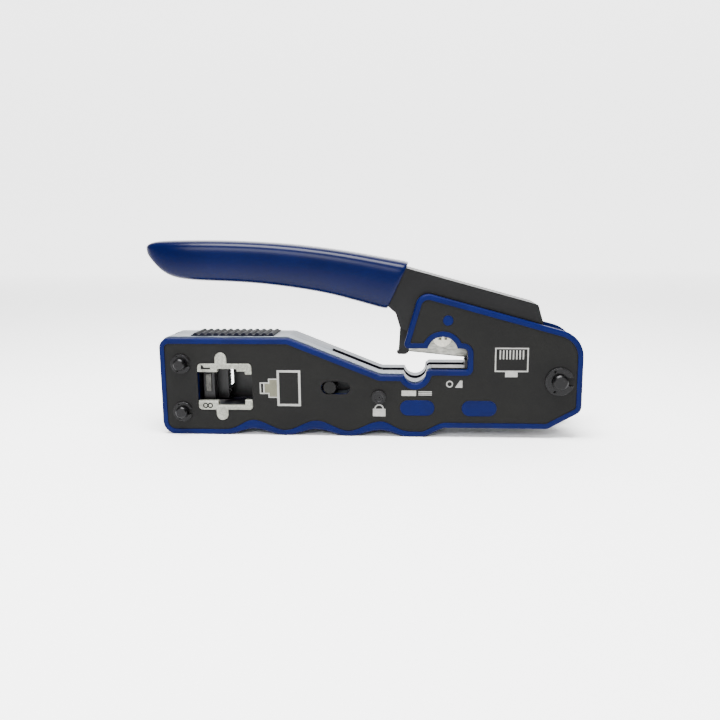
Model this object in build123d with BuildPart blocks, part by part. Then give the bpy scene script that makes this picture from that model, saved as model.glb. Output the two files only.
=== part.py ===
"""Compact pass-through crimping tool for eight-way modular plugs.

X runs along the tool towards the pivot, Y away from the front cover, Z up.
The origin is under the middle of the tool, on the surface it stands on.
The handle is modelled open, its rest position. Sizes are in millimetres.
"""
import math
import os

from build123d import *

os.makedirs("parts", exist_ok=True)

# ---------------------------------------------------------------- body outline
BODY_LEFT = -67.4          # flat left end
BODY_RIGHT = 73.4          # edge past the pivot
BODY_TOP = 33.2            # top of the left block
FLAT_TOP = 20.95           # land in front of the cable mouth
LAND_TOP = 22.9            # cutting land in the mouth
JAW_BOTTOM = 30.0          # underside of the upper jaw
RIGHT_BOTTOM = 3.2         # raised bottom edge under the pivot
SLOPE_START_X = -23.3      # where the top starts to fall
SLOPE_END_X = 7.4          # where it meets the front flat
JAW_TIP_X = 15.0           # left tip of the upper jaw
MOUTH_END_X = 36.2         # right wall of the mouth
LAND_START_X = 22.6        # left end of the cutting land
NOTCH_X, NOTCH_Z, NOTCH_R = 18.95, 21.8, 3.65      # cable stripping notch
BULGE_X, BULGE_Z, BULGE_R = 28.0, 28.9, 5.0        # relief over the cutting land
WAVE_START_X = -46.5       # first low of the finger waves
WAVE_PITCH = 21.6
WAVE_COUNT = 3
COVER_CREST = 2.2          # height of the waves on the cover's edge
PLATE_CREST = 5.2          # height of the waves on the face plate

# ---------------------------------------------------------------- layers in Y
HALF_THICK = 10.0          # outer face of a cover's lip
COVER_BACK = 7.8           # where a cover meets its shell
COVER_FLOOR = 9.0          # bottom of the dish that holds the face plate
PLATE_FACE = 9.75          # outer face of a face plate
SLOT_HALF = 2.2            # half width of the slot between the shells
SLIDER_HALF = 1.9          # half thickness of what moves in the slot
LIP = 1.8                  # width of the cover's rim
SHELL_INSET = 0.35         # shells stand just inside the covers' edge
SHELL_RISE = 0.8           # and sit this much higher, proud of the top edges
PLATE_GAP = 0.05           # plate to rim, all round

# ---------------------------------------------------------------- plug nest
NEST_L, NEST_R = -54.6, -35.8
NEST_B, NEST_T = 8.6, 24.7
NEST_CORNER = 1.3
SHELL_NEST_B, SHELL_NEST_T = 10.2, 23.0
GUIDE_TAB_L, GUIDE_TAB_R = -48.5, -44.3
GUIDE_TAB_TOP, GUIDE_TAB_LOW = 28.5, 5.0
FIT = 0.05                 # clearance of a fixed insert in its recess

# ---------------------------------------------------------------- pins
PIVOT_X, PIVOT_Z = 66.0, 19.3
PIVOT_R = 2.5
DIE_PIN_X = -60.1
DIE_PIN_ZS = (8.0, 24.5)
DIE_PIN_R = 2.0
PIN_PROUD = 2.45           # pins stand this far over the rims
CLIP_T = 0.6
RUN = 0.04                 # radial clearance of a running fit
HOLE = 0.08                # radial clearance of a fixed pin's hole

# ---------------------------------------------------------------- handle
CHEEK_OUT = 7.3            # outer face of the channel's cheeks
STEEL = 1.6                # channel sheet
GRIP_HALF = 8.3            # half width of the dipped grip
GRIP_WALL = 1.3            # coating over the channel's edges
CRANK = 9.0                # pivot to crank pin
CRANK_PIN_R = 1.8
TONGUE_BACK, TONGUE_FRONT = 1.9, -0.6              # the latch plate in Y
BLADE_FRONT = -1.9

# ---------------------------------------------------------------- lock
KNOB_X, KNOB_Z, KNOB_R = -9.5, 16.6, 2.1
LOCK_TRAVEL = 4.4
SLOT_L, SLOT_R, SLOT_H = -12.4, -2.6, 4.5
LOCK_PIN_X, LOCK_PIN_Z, LOCK_PIN_R = 7.0, 13.6, 1.2

# ---------------------------------------------------------------- face details
OVALS = ((19.8, 10.0), (40.2, 10.0))
OVAL_L, OVAL_H = 11.4, 5.2
DOT_X, DOT_Z, DOT_R = 29.7, 39.3, 1.65


def at_y(y):
    """A sketch plane facing the front, at this Y."""
    return Plane.XZ.offset(-y)


def inset_corners(corners, inset):
    """Move every edge of a counter-clockwise polygon inwards."""
    moved = []
    count = len(corners)
    for i in range(count):
        ax, az, _ = corners[i - 1]
        bx, bz, radius = corners[i]
        cx, cz, _ = corners[(i + 1) % count]
        d1 = math.atan2(bz - az, bx - ax)
        d2 = math.atan2(cz - bz, cx - bx)
        turn = d2 - d1
        half = math.tan(turn / 2.0)
        x = bx - inset * math.sin(d1) - inset * half * math.cos(d1)
        z = bz + inset * math.cos(d1) - inset * half * math.sin(d1)
        convex = math.sin(turn) > 0
        if radius:
            radius = max(0.3, radius - inset) if convex else radius + inset
        moved.append((x, z, radius))
    return moved


BODY_CORNERS = [
    (BODY_LEFT, 0.0, 4.5),
    (WAVE_START_X + WAVE_COUNT * WAVE_PITCH + 3.9, 0.0, 5.0),
    (28.4, RIGHT_BOTTOM, 5.0),
    (62.6, RIGHT_BOTTOM, 3.0),
    (BODY_RIGHT, 9.2, 3.0),
    (BODY_RIGHT, 34.05, 9.0),
    (20.4, 48.8, 4.2),
    (JAW_TIP_X, JAW_BOTTOM, 1.4),
    (MOUTH_END_X, JAW_BOTTOM, 1.6),
    (MOUTH_END_X, LAND_TOP, 0.5),
    (LAND_START_X + 1.0, LAND_TOP, 1.0),
    (NOTCH_X + 2.0, FLAT_TOP, 0.0),
    (SLOPE_END_X, FLAT_TOP, 4.0),
    (SLOPE_START_X, BODY_TOP, 4.0),
    (BODY_LEFT, BODY_TOP, 3.3),
]


def wave_points(low, crest):
    """The finger waves, from left to right, as alternating lows and crests."""
    points = []
    for i in range(WAVE_COUNT):
        x = WAVE_START_X + i * WAVE_PITCH
        points.append((x, low))
        points.append((x + WAVE_PITCH / 2, crest))
    points.append((WAVE_START_X + WAVE_COUNT * WAVE_PITCH, low))
    return points


def side_profile(inset, crest, mouth_cuts=True):
    """Outline of a cover, plate or shell, drawn in X and Z."""
    corners = inset_corners(BODY_CORNERS, inset)
    waves = wave_points(inset, crest)
    first = corners[0]
    rest = corners[1:]
    with BuildSketch() as face:
        with BuildLine():
            Line((first[0], first[1]), waves[0])
            Spline(*waves, tangents=[(1, 0)] * len(waves))
            Polyline(waves[-1], *[(x, z) for x, z, _ in rest], (first[0], first[1]))
        make_face()
        for x, z, radius in corners:
            if radius:
                fillet(face.vertices().sort_by_distance((x, z, 0))[0], radius)
        if mouth_cuts:
            with Locations((NOTCH_X, NOTCH_Z)):
                Circle(NOTCH_R + inset, mode=Mode.SUBTRACT)
            with Locations((BULGE_X, BULGE_Z)):
                Circle(BULGE_R + inset, mode=Mode.SUBTRACT)
            if inset > 1.0:
                land = LAND_TOP - inset
                reach = math.sqrt((NOTCH_R + inset) ** 2 - (NOTCH_Z - land) ** 2)
                corner = (NOTCH_X + reach, land, 0)
                fillet(face.vertices().sort_by_distance(corner)[0], 0.8)
    return face.sketch


def rounded(corners):
    """A closed polygon with a radius at each corner that names one."""
    with BuildSketch() as face:
        with BuildLine():
            Polyline(*[(x, z) for x, z, _ in corners], close=True)
        make_face()
        for x, z, radius in corners:
            if radius:
                fillet(face.vertices().sort_by_distance((x, z, 0))[0], radius)
    return face.sketch


def save(part, label):
    """Name a finished part and write it as its own file."""
    part.label = label
    export_step(part, "parts/" + label + ".step")


COVER_OUTLINE = side_profile(0.0, COVER_CREST)
DISH_OUTLINE = side_profile(LIP, PLATE_CREST)
PLATE_OUTLINE = side_profile(LIP + PLATE_GAP, PLATE_CREST + PLATE_GAP)
SHELL_OUTLINE = Pos(0, SHELL_RISE) * side_profile(SHELL_INSET, COVER_CREST + SHELL_INSET)
SHELL_PROUD = SHELL_RISE - SHELL_INSET

NEST_MID_X = (NEST_L + NEST_R) / 2
NEST_MID_Z = (NEST_B + NEST_T) / 2
TAB_MID_X = (GUIDE_TAB_L + GUIDE_TAB_R) / 2
TAB_W = GUIDE_TAB_R - GUIDE_TAB_L
SLOT_MID_X = (SLOT_L + SLOT_R) / 2
FIXED_PINS = [(DIE_PIN_X, z) for z in DIE_PIN_ZS]

# ---------------------------------------------------------------- covers
with BuildPart() as front_cover:
    with BuildSketch(at_y(-COVER_BACK)):
        add(COVER_OUTLINE)
    extrude(amount=HALF_THICK - COVER_BACK)
    rim = front_cover.faces().sort_by(Axis.Y)[0].outer_wire().edges()
    fillet(rim, 0.6)
    with BuildSketch(at_y(-COVER_FLOOR)):
        add(DISH_OUTLINE)
    extrude(amount=HALF_THICK - COVER_FLOOR, mode=Mode.SUBTRACT)
    with BuildSketch(at_y(-COVER_FLOOR)):
        with Locations(*OVALS):
            SlotOverall(OVAL_L, OVAL_H)
        with Locations((DOT_X, DOT_Z)):
            Circle(DOT_R)
    extrude(amount=PLATE_FACE - COVER_FLOOR + 0.1)
    with BuildSketch(at_y(-COVER_BACK)):
        with Locations((NEST_MID_X, NEST_MID_Z)):
            RectangleRounded(NEST_R - NEST_L, NEST_T - NEST_B, NEST_CORNER)
        with Locations((TAB_MID_X, (GUIDE_TAB_TOP + GUIDE_TAB_LOW) / 2)):
            SlotOverall(GUIDE_TAB_TOP - GUIDE_TAB_LOW, TAB_W, rotation=90)
        with Locations((SLOT_MID_X, KNOB_Z)):
            SlotOverall(SLOT_R - SLOT_L, SLOT_H)
        with Locations(*FIXED_PINS):
            Circle(DIE_PIN_R + HOLE)
        with Locations((PIVOT_X, PIVOT_Z)):
            Circle(PIVOT_R + HOLE)
        with Locations((LOCK_PIN_X, LOCK_PIN_Z)):
            Circle(LOCK_PIN_R + HOLE)
    extrude(amount=HALF_THICK - COVER_BACK, mode=Mode.SUBTRACT)

with BuildPart() as rear_cover:
    add(front_cover.part.mirror(Plane.XZ))

with BuildPart() as front_plate:
    with BuildSketch(at_y(-COVER_FLOOR)):
        add(PLATE_OUTLINE)
        with Locations(*OVALS):
            SlotOverall(OVAL_L + 2 * FIT, OVAL_H + 2 * FIT, mode=Mode.SUBTRACT)
        with Locations((DOT_X, DOT_Z)):
            Circle(DOT_R + FIT, mode=Mode.SUBTRACT)
        with Locations((NEST_MID_X, NEST_MID_Z)):
            RectangleRounded(NEST_R - NEST_L, NEST_T - NEST_B, NEST_CORNER, mode=Mode.SUBTRACT)
        with Locations((TAB_MID_X, (GUIDE_TAB_TOP + GUIDE_TAB_LOW) / 2)):
            SlotOverall(GUIDE_TAB_TOP - GUIDE_TAB_LOW, TAB_W, rotation=90, mode=Mode.SUBTRACT)
        with Locations((SLOT_MID_X, KNOB_Z)):
            SlotOverall(SLOT_R - SLOT_L, SLOT_H, mode=Mode.SUBTRACT)
        with Locations(*FIXED_PINS):
            Circle(DIE_PIN_R + HOLE, mode=Mode.SUBTRACT)
        with Locations((PIVOT_X, PIVOT_Z)):
            Circle(PIVOT_R + HOLE, mode=Mode.SUBTRACT)
        with Locations((LOCK_PIN_X, LOCK_PIN_Z)):
            Circle(LOCK_PIN_R + HOLE, mode=Mode.SUBTRACT)
    extrude(amount=PLATE_FACE - COVER_FLOOR)

with BuildPart() as rear_plate:
    add(front_plate.part.mirror(Plane.XZ))

# ---------------------------------------------------------------- shells
# Right of the mouth the shells drop away under the handle's cheeks.
SHELL_CUT = [(10, 60), (10, LAND_TOP + 1.5), (MOUTH_END_X + 1.8, LAND_TOP + 1.5),
             (MOUTH_END_X + 1.8, LAND_TOP - 0.4), (53.6, 9.0), (53.6, -5), (90, -5), (90, 60)]
ANVIL_L, ANVIL_R, ANVIL_LOW = 24.3, 36.6, 15.5

with BuildPart() as front_shell:
    with BuildSketch(at_y(-SLOT_HALF)):
        add(SHELL_OUTLINE)
        with BuildLine():
            Polyline(*SHELL_CUT, close=True)
        make_face(mode=Mode.SUBTRACT)
    extrude(amount=COVER_BACK - SLOT_HALF)
    with BuildSketch(at_y(-SLOT_HALF)):
        with Locations(((NEST_L + NEST_R) / 2, (SHELL_NEST_B + SHELL_NEST_T) / 2)):
            Rectangle(NEST_R - NEST_L, SHELL_NEST_T - SHELL_NEST_B)
        with Locations((SLOT_MID_X, KNOB_Z)):
            SlotOverall(SLOT_R - SLOT_L, SLOT_H)
        with Locations(*FIXED_PINS):
            Circle(DIE_PIN_R + HOLE)
        with Locations((LOCK_PIN_X, LOCK_PIN_Z)):
            Circle(LOCK_PIN_R + HOLE)
        with Locations(((ANVIL_L + ANVIL_R) / 2, (ANVIL_LOW + LAND_TOP + 3) / 2)):
            Rectangle(ANVIL_R - ANVIL_L, LAND_TOP + 3 - ANVIL_LOW)
    extrude(amount=COVER_BACK - SLOT_HALF, mode=Mode.SUBTRACT)

# Fills the slot over the left block and the upper half of the slope.
SPACER_END = -9.5
SPACER_LOW = BODY_TOP - 2.4
SPACER_TOP = BODY_TOP + SHELL_PROUD


def slope_top(x):
    """Height of the covers' edge over the slope at this X."""
    return BODY_TOP + (FLAT_TOP - BODY_TOP) * (x - SLOPE_START_X) / (SLOPE_END_X - SLOPE_START_X)


with BuildPart() as slot_spacer:
    with BuildSketch(at_y(SLOT_HALF - 0.02)):
        with BuildLine():
            Polyline((BODY_LEFT + 3.4, SPACER_TOP), (BODY_LEFT + 1.0, SPACER_TOP - 2.0),
                     (BODY_LEFT + 1.0, SPACER_LOW), (SLOPE_START_X, SPACER_LOW),
                     (SPACER_END, slope_top(SPACER_END) - 3.6),
                     (SPACER_END, slope_top(SPACER_END) + SHELL_PROUD),
                     (SLOPE_START_X, SPACER_TOP), close=True)
        make_face()
    extrude(amount=2 * (SLOT_HALF - 0.02))

with BuildPart() as rear_shell:
    with BuildSketch(at_y(COVER_BACK)):
        add(SHELL_OUTLINE)
        with BuildLine():
            Polyline(*SHELL_CUT, close=True)
        make_face(mode=Mode.SUBTRACT)
        with Locations(((NEST_L + NEST_R) / 2, (SHELL_NEST_B + SHELL_NEST_T) / 2)):
            Rectangle(NEST_R - NEST_L, SHELL_NEST_T - SHELL_NEST_B, mode=Mode.SUBTRACT)
        with Locations((SLOT_MID_X, KNOB_Z)):
            SlotOverall(SLOT_R - SLOT_L, SLOT_H, mode=Mode.SUBTRACT)
        with Locations(*FIXED_PINS):
            Circle(DIE_PIN_R + HOLE, mode=Mode.SUBTRACT)
        with Locations((LOCK_PIN_X, LOCK_PIN_Z)):
            Circle(LOCK_PIN_R + HOLE, mode=Mode.SUBTRACT)
    extrude(amount=COVER_BACK - SLOT_HALF)

# ---------------------------------------------------------------- thumb pad
PAD_L, PAD_R = -57.0, -28.6
PAD_HALF = 6.9
PAD_BASE = 0.3
RIB_COUNT = 12
RIB_R = 0.95
RIB_PITCH = 2.38
PAD_SEAT = BODY_TOP + SHELL_PROUD
RIB_MID_X = (PAD_L + PAD_R) / 2

with BuildPart() as thumb_pad:
    with Locations((RIB_MID_X, 0, PAD_SEAT + PAD_BASE / 2)):
        Box(PAD_R - PAD_L, 2 * PAD_HALF, PAD_BASE)
    with BuildSketch(at_y(PAD_HALF)):
        with Locations((RIB_MID_X, PAD_SEAT)):
            with GridLocations(RIB_PITCH, 1, RIB_COUNT, 1):
                Circle(RIB_R)
        with Locations((RIB_MID_X, PAD_SEAT - 1)):
            Rectangle(2 * (PAD_R - PAD_L), 2, mode=Mode.SUBTRACT)
    extrude(amount=2 * PAD_HALF)

# ---------------------------------------------------------------- plug guides
GUIDE_FACE = PLATE_FACE + 0.1
GUIDE_L, GUIDE_R = NEST_L + FIT, NEST_R - FIT
UPPER_GUIDE = [
    (GUIDE_L, 21.7, 0), (-47.7, 21.7, 0), (-47.7, 22.8, 0.4), (-41.0, 22.8, 0.4),
    (-41.0, 21.9, 0), (-38.2, 21.9, 0), (-38.2, 20.9, 0.3),
    (GUIDE_R, 20.9, 0.5), (GUIDE_R, NEST_T - FIT, NEST_CORNER), (GUIDE_L, NEST_T - FIT, NEST_CORNER)]
LOWER_GUIDE = [
    (GUIDE_L, NEST_B + FIT, NEST_CORNER), (GUIDE_R, NEST_B + FIT, NEST_CORNER), (GUIDE_R, 12.1, 0.5),
    (-38.4, 12.1, 0), (-38.4, 10.2, 0.4), (-47.7, 10.2, 0.4), (-47.7, 11.8, 0), (GUIDE_L, 11.8, 0)]
TAB_R = TAB_W / 2 - FIT

with BuildPart() as upper_guide:
    with BuildSketch(at_y(-COVER_BACK)):
        add(rounded(UPPER_GUIDE))
        with Locations((TAB_MID_X, GUIDE_TAB_TOP - FIT - TAB_R)):
            Circle(TAB_R)
        with Locations((TAB_MID_X, (NEST_T - 1 + GUIDE_TAB_TOP - FIT - TAB_R) / 2)):
            Rectangle(2 * TAB_R, GUIDE_TAB_TOP - FIT - TAB_R - NEST_T + 1)
    extrude(amount=GUIDE_FACE - COVER_BACK)
    chamfer(upper_guide.faces().sort_by(Axis.Y)[0].edges(), 0.2)

with BuildPart() as lower_guide:
    with BuildSketch(at_y(-COVER_BACK)):
        add(rounded(LOWER_GUIDE))
        with Locations((TAB_MID_X, GUIDE_TAB_LOW + FIT + TAB_R)):
            Circle(TAB_R)
        with Locations((TAB_MID_X, (NEST_B + 1 + GUIDE_TAB_LOW + FIT + TAB_R) / 2)):
            Rectangle(2 * TAB_R, NEST_B + 1 - GUIDE_TAB_LOW - FIT - TAB_R)
    extrude(amount=GUIDE_FACE - COVER_BACK)
    chamfer(lower_guide.faces().sort_by(Axis.Y)[0].edges(), 0.2)

# The plug's nose rests on this plate. Its left edge leaves a slit for the trimmed wires.
STOP_EDGE = -45.9
with BuildPart() as plug_stop:
    with BuildSketch(at_y(COVER_BACK)):
        with Locations(((STOP_EDGE + NEST_R - FIT) / 2, (SHELL_NEST_B + SHELL_NEST_T) / 2)):
            Rectangle(NEST_R - FIT - STOP_EDGE, SHELL_NEST_T - SHELL_NEST_B - 2 * FIT)
        with Locations((STOP_EDGE, SHELL_NEST_B + FIT)):
            Rectangle(6.8, 6.8, rotation=45)
        with Locations((STOP_EDGE, 0)):
            Rectangle(40, 2 * (SHELL_NEST_B + FIT), mode=Mode.SUBTRACT)
    extrude(amount=3.0)

# ---------------------------------------------------------------- cutter anvil
ANVIL_STOP = 25.8         # top of the stop at the mouth's closed end
ANVIL_CORNERS = [
    (ANVIL_L + FIT, ANVIL_LOW + FIT, 0.3), (ANVIL_R - FIT, ANVIL_LOW + FIT, 0.3),
    (ANVIL_R - FIT, ANVIL_STOP, 0.2), (ANVIL_R - 1.3, ANVIL_STOP, 0.2),
    (ANVIL_R - 1.3, LAND_TOP + SHELL_PROUD, 0), (ANVIL_L + FIT, LAND_TOP + SHELL_PROUD, 0.3)]

with BuildPart() as cutter_anvil:
    with BuildSketch(at_y(-SLOT_HALF)):
        add(rounded(ANVIL_CORNERS))
    extrude(amount=COVER_BACK - SLOT_HALF)

# ---------------------------------------------------------------- fixed pins and clips
PIN_TOP = HALF_THICK + PIN_PROUD


def pin_solid(radius, half, nose):
    """A plain pin along Y with chamfered ends, centred on the origin."""
    with BuildPart() as pin:
        Cylinder(radius, 2 * half, rotation=(90, 0, 0))
        chamfer(pin.edges().filter_by(GeomType.CIRCLE), nose)
    return pin.part


def clip_solid(radius, bore, thickness, opening, lug_hole):
    """A snap ring lying in the XZ plane, with two lug holes and its gap towards +X."""
    with BuildPart() as clip:
        with BuildSketch(Plane.XZ.offset(-thickness / 2)):
            Circle(radius)
            Circle(bore, mode=Mode.SUBTRACT)
            with Locations((radius, 0)):
                Rectangle(2 * radius - bore, opening, mode=Mode.SUBTRACT)
            with PolarLocations((radius + bore) / 2 + 0.1, 2, start_angle=115, angular_range=130,
                                endpoint=True):
                Circle(lug_hole, mode=Mode.SUBTRACT)
        extrude(amount=thickness)
    return clip.part


DIE_PIN = pin_solid(DIE_PIN_R, PIN_TOP, 0.45)
DIE_CLIP = clip_solid(3.3, DIE_PIN_R + 0.02, CLIP_T, 2.0, 0.3)
PIVOT_CLIP = clip_solid(4.6, PIVOT_R + 0.02, CLIP_T, 3.0, 0.45)
CLIP_Y = PLATE_FACE + FIT + CLIP_T / 2

with BuildPart() as die_pins:
    for x, z in FIXED_PINS:
        add(Pos(x, 0, z) * DIE_PIN)

with BuildPart() as die_clips:
    for x, z in FIXED_PINS:
        add(Pos(x, -CLIP_Y, z) * DIE_CLIP)
        add(Pos(x, CLIP_Y, z) * DIE_CLIP)

with BuildPart() as pivot_pin:
    add(Pos(PIVOT_X, 0, PIVOT_Z) * pin_solid(PIVOT_R, PIN_TOP, 0.5))

with BuildPart() as pivot_clips:
    add(Pos(PIVOT_X, -CLIP_Y, PIVOT_Z) * PIVOT_CLIP)
    add(Pos(PIVOT_X, CLIP_Y, PIVOT_Z) * PIVOT_CLIP)

with BuildPart() as lock_guide_pin:
    with BuildSketch(at_y(PLATE_FACE)):
        with Locations((LOCK_PIN_X, LOCK_PIN_Z)):
            Circle(LOCK_PIN_R)
    extrude(amount=2 * PLATE_FACE)
    for side in (-1, 1):
        with Locations((LOCK_PIN_X, side * (PLATE_FACE + FIT + 0.45), LOCK_PIN_Z)):
            Cylinder(2.3, 0.9, rotation=(90, 0, 0))
        with Locations((LOCK_PIN_X, side * (PLATE_FACE + 0.1), LOCK_PIN_Z)):
            Cylinder(LOCK_PIN_R, 0.4, rotation=(90, 0, 0))
        with Locations((LOCK_PIN_X, side * (PLATE_FACE + FIT + 0.9), LOCK_PIN_Z)):
            Cylinder(1.3, 0.5, rotation=(90, 0, 0), mode=Mode.SUBTRACT)

# ---------------------------------------------------------------- handle
# Top line of the channel, falling towards the pivot.
TOP_SLOPE = -0.2807
TOP_X0, TOP_Z0 = 16.4, 56.1


def top_line(x):
    """Height of the channel's top edge at this X."""
    return TOP_Z0 + TOP_SLOPE * (x - TOP_X0)


END_X = 58.8
CRANK_X, CRANK_Z = PIVOT_X, PIVOT_Z - CRANK
CHEEK_CORNERS = [
    (9.0, 44.6, 0), (12.6, 41.4, 2.0), (13.9, 36.8, 0.8), (17.6, 34.8, 0),
    (37.0, 34.8, 2.0), (41.0, 29.6, 2.0), (57.6, 13.6, 4.0), (CRANK_X - 3.2, CRANK_Z - 3.0, 2.8),
    (CRANK_X + 3.0, CRANK_Z - 3.0, 2.8), (72.0, 19.6, 4.0), (70.6, 27.2, 3.0),
    (60.9, 37.0, 0.5), (END_X, top_line(END_X), 1.2), (TOP_X0, TOP_Z0, 0), (6.0, 57.6, 0)]
VOID_CORNERS = [
    (-20.0, 62.5 - STEEL - 2.4, 0), (-20.0, 0.0, 0), (90.0, 0.0, 0), (90.0, 36.0, 0),
    (60.0, 36.0, 0), (END_X - 1.2, top_line(END_X) - STEEL - 1.0, 1.0),
    (TOP_X0, TOP_Z0 - STEEL, 0), (6.0, 57.6 - STEEL, 0)]

# Cross-sections of the dipped grip from its open end to the nose:
# top point, bottom point, width and corner radius.
GRIP_SECTIONS = [
    ((16.4, 57.9), (9.3, 42.5), 2 * GRIP_HALF, 3.4),
    ((-22.0, 64.3), (-25.2, 50.0), 2 * GRIP_HALF, 3.6),
    ((-57.0, 65.8), (-56.6, 52.3), 2 * GRIP_HALF, 3.6)]
NOSE_SECTIONS = [
    ((-57.0, 65.8), (-56.6, 52.3), 2 * GRIP_HALF, 3.6),
    ((-66.6, 65.6), (-64.6, 54.0), 15.2, 3.6),
    ((-73.4, 63.9), (-71.6, 59.4), 9.6, 1.9)]


def grip_run(sections, ruled):
    """A solid lofted through the given grip sections."""
    with BuildPart() as run:
        for top, under, width, radius in sections:
            rise_x, rise_z = top[0] - under[0], top[1] - under[1]
            height = math.hypot(rise_x, rise_z)
            middle = ((top[0] + under[0]) / 2, 0, (top[1] + under[1]) / 2)
            with BuildSketch(Plane(origin=middle, x_dir=(0, 1, 0), z_dir=(rise_z, 0, -rise_x))):
                RectangleRounded(width, height, radius)
        loft(ruled=ruled)
    return run.part


ARM_TOP = [(6.0, 57.9), (-4.0, 59.6), (-24.0, 61.9), (-47.8, 63.1), (-62.0, 62.7)]
ARM_UNDER = [(-62.0, 56.6), (-39.5, 53.8), (-25.0, 52.5), (-10.1, 50.1), (9.0, 45.2)]

with BuildPart() as handle_frame:
    with BuildSketch(at_y(CHEEK_OUT)):
        add(rounded(CHEEK_CORNERS))
        with BuildLine():
            Spline(*ARM_TOP, tangents=[(-0.98, 0.19), (-1, -0.08)])
            Line(ARM_TOP[-1], ARM_UNDER[0])
            Spline(*ARM_UNDER, tangents=[(0.98, -0.2), (0.95, -0.31)])
            Polyline(ARM_UNDER[-1], (9.0, 56.0), ARM_TOP[0])
        make_face()
    extrude(amount=2 * CHEEK_OUT)
    with BuildSketch(at_y(CHEEK_OUT - STEEL)):
        add(rounded(VOID_CORNERS))
        with BuildLine():
            Polyline((-19.9, 40), (-19.9, 60.0), (-47.8, 61.4), (-60.4, 61.0), (-60.4, 40), close=True)
        make_face()
    extrude(amount=2 * (CHEEK_OUT - STEEL), mode=Mode.SUBTRACT)
    with BuildSketch(at_y(CHEEK_OUT)):
        with Locations((PIVOT_X, PIVOT_Z)):
            Circle(PIVOT_R + RUN)
        with Locations((CRANK_X, CRANK_Z)):
            Circle(CRANK_PIN_R + FIT)
    extrude(amount=2 * CHEEK_OUT, mode=Mode.SUBTRACT)

with BuildPart() as handle_grip:
    add(grip_run(GRIP_SECTIONS, False))
    add(grip_run(NOSE_SECTIONS, True))
    add(handle_frame.part, mode=Mode.SUBTRACT)
    with BuildSketch(at_y(CHEEK_OUT - STEEL)):
        with BuildLine():
            Polyline((20.0, 36.0), (20.0, 54.6), (15.0, 55.6), (6.0, 57.2), (-19.9, 60.8), (-19.9, 52.9),
                     (-10.1, 50.4), (8.6, 45.4), close=True)
        make_face()
    extrude(amount=2 * (CHEEK_OUT - STEEL), mode=Mode.SUBTRACT)

# ---------------------------------------------------------------- latch plate
# Centre plate of the handle: it carries the blade and ends in the latch finger.
TOE_L, TOE_B, TOE_T = 12.7, 26.6, 27.7             # the catch under the finger
NECK_X = 13.3
PLATE_CORNERS = [
    (TOE_L, TOE_B, 0.9), (16.6, TOE_B, 1.6), (17.6, 31.0, 0), (36.4, 31.0, 1.0),
    (37.0, 46.0, 1.0), (18.0, 51.0, 1.0), (15.0, 51.0, 0.5), (13.9, 37.0, 0),
    (NECK_X, TOE_T + 0.2, 0), (TOE_L, TOE_T, 0.2)]

with BuildPart() as latch_plate:
    with BuildSketch(at_y(TONGUE_BACK)):
        add(rounded(PLATE_CORNERS))
    extrude(amount=TONGUE_BACK - TONGUE_FRONT)
    with Locations((22.5, 0, 44.5), (33.5, 0, 41.5)):
        Cylinder(1.5 + FIT, 20, rotation=(90, 0, 0), mode=Mode.SUBTRACT)

# Two spacers and rivets hold the centre plate between the cheeks.
RIVETS = ((22.5, 44.5), (33.5, 41.5))
with BuildPart() as plate_rivets:
    for x, z in RIVETS:
        with Locations((x, 0, z)):
            Cylinder(1.5, 2 * (CHEEK_OUT - STEEL), rotation=(90, 0, 0))
        for y0, y1 in ((-(CHEEK_OUT - STEEL), TONGUE_FRONT), (TONGUE_BACK, CHEEK_OUT - STEEL)):
            with Locations((x, (y0 + y1) / 2, z)):
                Cylinder(2.6, y1 - y0, rotation=(90, 0, 0))

BLADE_CORNERS = [
    (16.9, 27.8, 0), (37.6, 25.7, 0), (37.6, 36.5, 1.0), (16.9, 36.5, 1.0)]
DISC_X, DISC_Z, DISC_R = 28.1, 32.9, 3.2
with BuildPart() as cutter_blade:
    with BuildSketch(at_y(TONGUE_FRONT - 0.05)):
        add(rounded(BLADE_CORNERS))
        with Locations((DISC_X, DISC_Z)):
            Circle(1.5 + FIT, mode=Mode.SUBTRACT)
    extrude(amount=TONGUE_FRONT - 0.05 - BLADE_FRONT)
    edge_line = cutter_blade.edges().filter_by(lambda e: e.length > 15 and e.center().Z < 28)
    front_edge = edge_line.sort_by(Axis.Y)[0]
    chamfer(front_edge, 0.35)

with BuildPart() as blade_disc:
    with Locations((DISC_X, BLADE_FRONT - 0.8, DISC_Z)):
        Cylinder(DISC_R, 1.5, rotation=(90, 0, 0))
    with Locations((DISC_X, (BLADE_FRONT - 0.1 + TONGUE_FRONT - 0.05) / 2, DISC_Z)):
        Cylinder(1.5, abs(BLADE_FRONT - TONGUE_FRONT) + 0.1, rotation=(90, 0, 0))
    with BuildSketch(at_y(BLADE_FRONT)):
        with Locations((DISC_X - 0.8, DISC_Z + 1.4), (DISC_X + 1.1, DISC_Z + 1.4)):
            Rectangle(0.9, 4.4)
    extrude(amount=3.0, mode=Mode.SUBTRACT)

with BuildPart() as crank_pin:
    add(Pos(CRANK_X, 0, CRANK_Z) * pin_solid(CRANK_PIN_R, CHEEK_OUT, 0.2))

# Bush that keeps the cheeks apart on the pivot.
BUSH_R = 4.0
with BuildPart() as pivot_bush:
    with Locations((PIVOT_X, 0, PIVOT_Z)):
        Cylinder(BUSH_R, 2 * (CHEEK_OUT - STEEL) - 0.1, rotation=(90, 0, 0))
        Cylinder(PIVOT_R + RUN, 40, rotation=(90, 0, 0), mode=Mode.SUBTRACT)
        Cylinder(BUSH_R + 1, 6.4, rotation=(90, 0, 0), mode=Mode.SUBTRACT)
        Cylinder(PIVOT_R + 0.6, 2 * (CHEEK_OUT - STEEL) - 0.1, rotation=(90, 0, 0))
        Cylinder(PIVOT_R + RUN, 40, rotation=(90, 0, 0), mode=Mode.SUBTRACT)

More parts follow.
